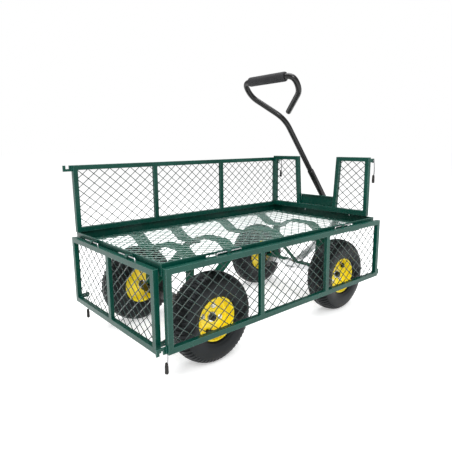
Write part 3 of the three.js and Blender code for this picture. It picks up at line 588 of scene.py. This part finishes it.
for place in WHEEL_PLACES:
    body = f"wheel_{place}"
    sign = 1 if place.endswith("left") else -1
    out = Y * sign
    centre = Vector(joints[f"wheel_spin_{place}"]["pos_m"])
    add_piece(f"tyre_{place}_tread", tyre_shape(centre), "tyre_rubber", body, [f"tyre_{place}"])
    face = [(radius, sign * y) for radius, y in RIM_FACE]
    add_piece(f"rim_{place}_pressing", turned(face, centre, RIM_SIDES), "yellow_paint", body,
              [f"rim_{place}"])
    ring = [(radius, sign * y) for radius, y in HUB_RING]
    add_piece(f"hub_{place}", turned(ring, centre, RIM_SIDES), "zinc_steel", body)

    low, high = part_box(f"valve_{place}")
    valve = (low + high) / 2
    spoke = Vector((valve.x - centre.x, 0, valve.z - centre.z)).normalized()
    tangent = spoke.cross(Y)
    add_piece(f"rim_bolts_{place}", wheel_bolts(centre, out, (tangent, -spoke, -tangent)), "zinc_steel",
              body)
    root = Vector((valve.x, centre.y, valve.z))
    add_piece(f"valve_{place}_stem", valve_stem(root, out, tangent), "tyre_rubber", body,
              [f"valve_{place}"])


# Underframe ---------------------------------------------------------------------------------------

for name in ("strap_rear_a", "strap_rear_b", "strap_front_a", "strap_front_b"):
    low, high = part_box(name)
    x, middle = (low.x + high.x) / 2, (low.y + high.y) / 2
    top, trough = high.z - STRIP_THICK / 2, low.z + STRIP_THICK / 2
    heights = [top, trough, trough, top, top]
    half_line = [Vector((x, r, z)) for r, z in zip(STRAP_REACHES, heights)]
    line = [Vector((p.x, middle - p.y, p.z)) for p in reversed(half_line)]
    line += [Vector((p.x, middle + p.y, p.z)) for p in half_line]
    add_piece(f"{name}_bent", strip(eased_line(line, STRIP_BEND), X, high.x - low.x),
              "green_powder_coat", "chassis", [name], "strap_coat")

bed_low, bed_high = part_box("bed_mesh")
bed_middle = (bed_low + bed_high) / 2
rear_low, rear_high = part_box("leg_rear_left")
front_low, front_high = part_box("leg_front_left")
trough, crest = rear_high.z - STRIP_THICK / 2, front_high.z - STRIP_THICK / 2
rear_seat, front_seat = rear_low.z + STRIP_THICK / 2, front_low.z + STRIP_THICK / 2
# Corners of the legs' strips, as distance ahead of the bed's centre and height
rear_leg = [(-0.084, trough), (-0.126, trough), (-0.266, rear_seat), (-0.290, rear_seat),
            (-0.284, trough), (-0.246, trough)]
front_brace = [(0.104, crest), (0.138, crest), (FOOT_BACK, front_seat), (FOOT_FRONT, front_seat)]
front_upright = [(FOOT_BACK, front_seat), (FOOT_FRONT, front_seat), (0.336, trough), (0.374, trough)]


def leg_strip(reach, width, corners):
    """Strip that follows the corners, with its middle at a distance to the left of the bed's."""
    line = [Vector((bed_middle.x + x, bed_middle.y + reach, z)) for x, z in corners]
    return strip(eased_line(line, STRIP_BEND), Y, width)


def front_leg(sign):
    """Narrow brace and wider upright joined by a flat foot plate."""
    x = bed_middle.x + (FOOT_BACK + FOOT_FRONT) / 2
    foot = [Vector((x, bed_middle.y + sign * reach, front_seat)) for reach in FOOT_REACHES]
    return merged([
        leg_strip(sign * BRACE_REACH, BRACE_WIDTH, front_brace),
        leg_strip(sign * LEG_REACH, LEG_WIDTH, front_upright),
        strip(foot, X, FOOT_WIDTH, FOOT_THICK),
    ])


for side, sign in SIDES:
    add_piece(f"leg_rear_{side}_bent", leg_strip(sign * LEG_REACH, LEG_WIDTH, rear_leg),
              "green_powder_coat", "chassis", [f"leg_rear_{side}"], "strap_coat")
    add_piece(f"leg_front_{side}_bent", front_leg(sign), "green_powder_coat", "chassis",
              [f"leg_front_{side}"], "strap_coat")


# Steering and handle ------------------------------------------------------------------------------

low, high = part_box("front_beam")
axle = (low + high) / 2
yoke_foot, yoke_head = low.z + YOKE_THICK / 2, YOKE_TOP - YOKE_THICK / 2
beam_ends = [Vector((axle.x, y, BEAM_LEVEL)) for y in (low.y + BEAM_INSET, high.y - BEAM_INSET)]
add_piece("front_beam_bar", strip(beam_ends, X, BEAM_WIDTH, BEAM_DEPTH), "zinc_steel", "chassis",
          ["front_beam"])


def yoke(sign, outer):
    """Channel bent from a strip round the kingpin, with the kingpin's head on top."""
    corners = [(0, yoke_foot), (YOKE_DEPTH, yoke_foot), (YOKE_DEPTH, yoke_head), (0, yoke_head)]
    line = [Vector((axle.x, outer - sign * inset, z)) for inset, z in corners]
    pin = Vector((axle.x, outer - sign * KINGPIN_INSET, yoke_head))
    return merged([strip(eased_line(line, YOKE_BEND), X, YOKE_WIDTH, YOKE_THICK),
                   hexagon(pin, Z, KINGPIN_HEAD, KINGPIN_HEAD)])


add_piece("yoke_left", yoke(1, high.y), "black_steel", "chassis")
add_piece("yoke_right", yoke(-1, low.y), "black_steel", "chassis")

for side, _ in SIDES:
    name = f"tie_rod_{side}"
    low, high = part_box(name)
    middle = (low + high) / 2
    ends = [Vector((middle.x, y, middle.z)) for y in (low.y + TIE_INSET, high.y - TIE_INSET)]
    shapes = [rod(*ends, TIE_RADIUS)]
    for end in ends:
        shapes.append(rod(end - Z * EYE_HALF, end + Z * EYE_HALF, EYE_RADIUS, ease=EYE_EASE))
    add_piece(f"{name}_bar", merged(shapes), "zinc_steel", f"tie_{side}", [name])

pivot = Vector(joints["handle_pitch"]["pos_m"])
low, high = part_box("handle_bolt")
bolt_right, bolt_left = Vector((pivot.x, low.y, pivot.z)), Vector((pivot.x, high.y, pivot.z))
add_piece("handle_bolt_hex", merged([
    rod(bolt_right + Y * BOLT_END, bolt_left - Y * BOLT_END, BOLT_RADIUS),
    hexagon(bolt_right + Y * BOLT_HEAD_HEIGHT, -Y, BOLT_HEAD, BOLT_HEAD_HEIGHT),
    hexagon(bolt_left - Y * BOLT_HEAD_HEIGHT, Y, BOLT_HEAD, BOLT_HEAD_HEIGHT),
]), "zinc_steel", "steering_drawbar", ["handle_bolt"])

along_handle = Vector((-math.sin(HANDLE_LEAN), 0, math.cos(HANDLE_LEAN)))


def handle_point(left, along):
    """Point to the left of the handle's own line, and along that line from its bolt."""
    return pivot + Y * left + along_handle * along


sleeve_foot, sleeve_head = (handle_point(0, along) for along in SLEEVE_SPAN)
add_piece("handle_sleeve", rod(sleeve_foot, sleeve_head, SLEEVE_RADIUS, sides=40, ease=SLEEVE_EASE),
          "black_steel", "handle", ["handle_tube"])
loop_points = [sleeve_head, *(handle_point(y, s) for y, s, _ in LOOP_CORNERS),
               handle_point(*LOOP_END)]
loop_line = eased_line(loop_points, [ease for _, _, ease in LOOP_CORNERS], steps=14)
add_piece("handle_loop_tube", tube(loop_line, LOOP_RADIUS, sides=32), "black_steel", "handle",
          ["handle_loop"])

low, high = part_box("handle_grip")
grip_middle = (low + high) / 2
grip_radius = (high.z - low.z) / 2
grip_stops = [(low.y + reach, share) for reach, share in GRIP_END]
grip_stops += [(high.y - reach, share) for reach, share in reversed(GRIP_END)]
grip_line = [Vector((grip_middle.x, y, grip_middle.z)) for y, _ in grip_stops]
grip_radii = [grip_radius * share for _, share in grip_stops]
add_piece("handle_grip_foam", tube(grip_line, grip_radii, sides=48), "grip_foam", "handle",
          ["handle_grip"])


# Hinge pins and latches ---------------------------------------------------------------------------

for node in sorted(n for n in node_slots if n.startswith("hinge_pin")):
    low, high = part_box(node)
    middle = (low + high) / 2
    run = X if high.x - low.x > high.y - low.y else Y
    half = (high - low).dot(run) / 2
    line = eased_line([middle + run * half, middle - run * (half - PIN_TURN),
                       middle - run * (half - PIN_TIP) - Z * PIN_TAIL], PIN_EASE)
    add_piece(f"{node}_wire", tube(line, PIN_RADIUS, sides=14), "zinc_steel", "chassis", [node])


def latch_wire(hang, inward):
    """Wire that turns down at its pivot and bows forward on its way to the cap."""
    line = [hang + inward * LATCH_PIVOT, hang, hang - Z * LATCH_DROP / 2 + X * LATCH_BOW,
            hang - Z * LATCH_DROP]
    return tube(eased_line(line, LATCH_EASES), LATCH_RADIUS, sides=14)


def latch_coil(hang, inward):
    """Ring of wire round the pivot, beside the gate's tab."""
    outline = [(COIL_RADIUS + COIL_WIRE * math.cos(a), COIL_WIRE * math.sin(a))
               for a in (math.pi * k / 4 for k in range(8))]
    return turned(outline, hang + inward * COIL_PLACE, sides=32)


for place, sign in ((f"{end}_{side}", sign) for end in ("front", "rear") for side, sign in SIDES):
    body = f"latch_{place}"
    hang = Vector(joints[f"latch_swing_{place}"]["pos_m"])
    inward = -Y * sign
    # The latch wire is zinc; its darker look is a painted dark reflection
    add_piece(f"latch_{place}_wire", latch_wire(hang, inward), "zinc_steel", body,
              [f"latch_wire_{place}"], "zinc_wire_painted_dark")
    # The coil is of the latch's zinc wire; its black finish is a painted dark reflection
    add_piece(f"latch_{place}_coil", latch_coil(hang, inward), "black_steel", body)
    low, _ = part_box(f"latch_cap_{place}")
    cap_line = [Vector((hang.x, hang.y, low.z + height)) for height, _ in CAP_OUTLINE]
    add_piece(f"latch_{place}_cap", tube(cap_line, [radius for _, radius in CAP_OUTLINE], sides=28),
              "cap_rubber", body, [f"latch_cap_{place}"])


# Finishes for the CAD nodes that stay -------------------------------------------------------------

for node, piece in frame["nodes"].items():
    piece.data.materials.clear()
    piece.data.materials.append(finishes[node_slots[node]])


# Floor, light and camera --------------------------------------------------------------------------

def add_floor():
    """Pale floor that glows a little."""
    mesh = bpy.data.meshes.new("floor")
    corners = [(x, y, 0) for x, y in rectangle(FLOOR_HALF, FLOOR_HALF)]
    mesh.from_pydata(corners, [], [(0, 1, 2, 3)])
    floor = bpy.data.objects.new("floor", mesh)
    bpy.context.scene.collection.objects.link(floor)
    material = bpy.data.materials.new("pale_floor")
    material.use_nodes = True
    surface = material.node_tree.nodes["Principled BSDF"]
    surface.inputs["Base Color"].default_value = (0.93, 0.93, 0.93, 1.0)
    surface.inputs["Roughness"].default_value = 0.9
    surface.inputs["Specular IOR Level"].default_value = 0.1
    surface.inputs["Emission Color"].default_value = (1.0, 1.0, 1.0, 1.0)
    surface.inputs["Emission Strength"].default_value = FLOOR_GLOW
    mesh.materials.append(material)
    floor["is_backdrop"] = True


def add_softbox(name, place, size, power):
    """Square light at a place, aimed at the cart."""
    lamp = bpy.data.lights.new(name, "AREA")
    lamp.shape = "SQUARE"
    lamp.size = size
    lamp.energy = power
    light = bpy.data.objects.new(name, lamp)
    light.location = place
    light.rotation_mode = "QUATERNION"
    light.rotation_quaternion = (Vector(AIM) - Vector(place)).to_track_quat("-Z", "Y")
    bpy.context.scene.collection.objects.link(light)


def add_camera():
    """Camera at the photograph's viewing angle."""
    yaw, pitch = CAMERA_YAW, CAMERA_PITCH
    ahead = Vector((math.cos(pitch) * math.cos(yaw), math.cos(pitch) * math.sin(yaw), math.sin(pitch)))
    level = Vector((math.sin(yaw), -math.cos(yaw), 0))
    down = ahead.cross(level)
    right = math.cos(CAMERA_ROLL) * level + math.sin(CAMERA_ROLL) * down
    below = -math.sin(CAMERA_ROLL) * level + math.cos(CAMERA_ROLL) * down
    lens = bpy.data.cameras.new("camera")
    lens.lens = CAMERA_LENS
    lens.sensor_width = CAMERA_SENSOR
    lens.shift_x, lens.shift_y = CAMERA_SHIFT
    camera = bpy.data.objects.new("camera", lens)
    turn = Matrix((right, -below, -ahead)).transposed()
    camera.matrix_world = Matrix.Translation(CAMERA_PLACE) @ turn.to_4x4()
    bpy.context.scene.collection.objects.link(camera)
    bpy.context.scene.camera = camera


def add_studio():
    """White backdrop that lights the cart less than it shows, so that the softboxes shape the paint."""
    world = bpy.data.worlds.new("studio")
    world.use_nodes = True
    tree = world.node_tree
    backdrop = tree.nodes["Background"]
    backdrop.inputs["Color"].default_value = (1.0, 1.0, 1.0, 1.0)
    rays = tree.nodes.new("ShaderNodeLightPath")
    tree.links.new(spread(tree, rays.outputs["Is Camera Ray"], ROOM_LIGHT, 1.0, 0.0, 1.0),
                   backdrop.inputs["Strength"])
    bpy.context.scene.world = world
    bpy.context.scene.view_settings.view_transform = "Standard"
    add_softbox("key", KEY_PLACE, KEY_SIZE, KEY_POWER)
    add_softbox("top", TOP_PLACE, TOP_SIZE, TOP_POWER)


add_floor()
add_camera()
add_studio()

low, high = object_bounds()
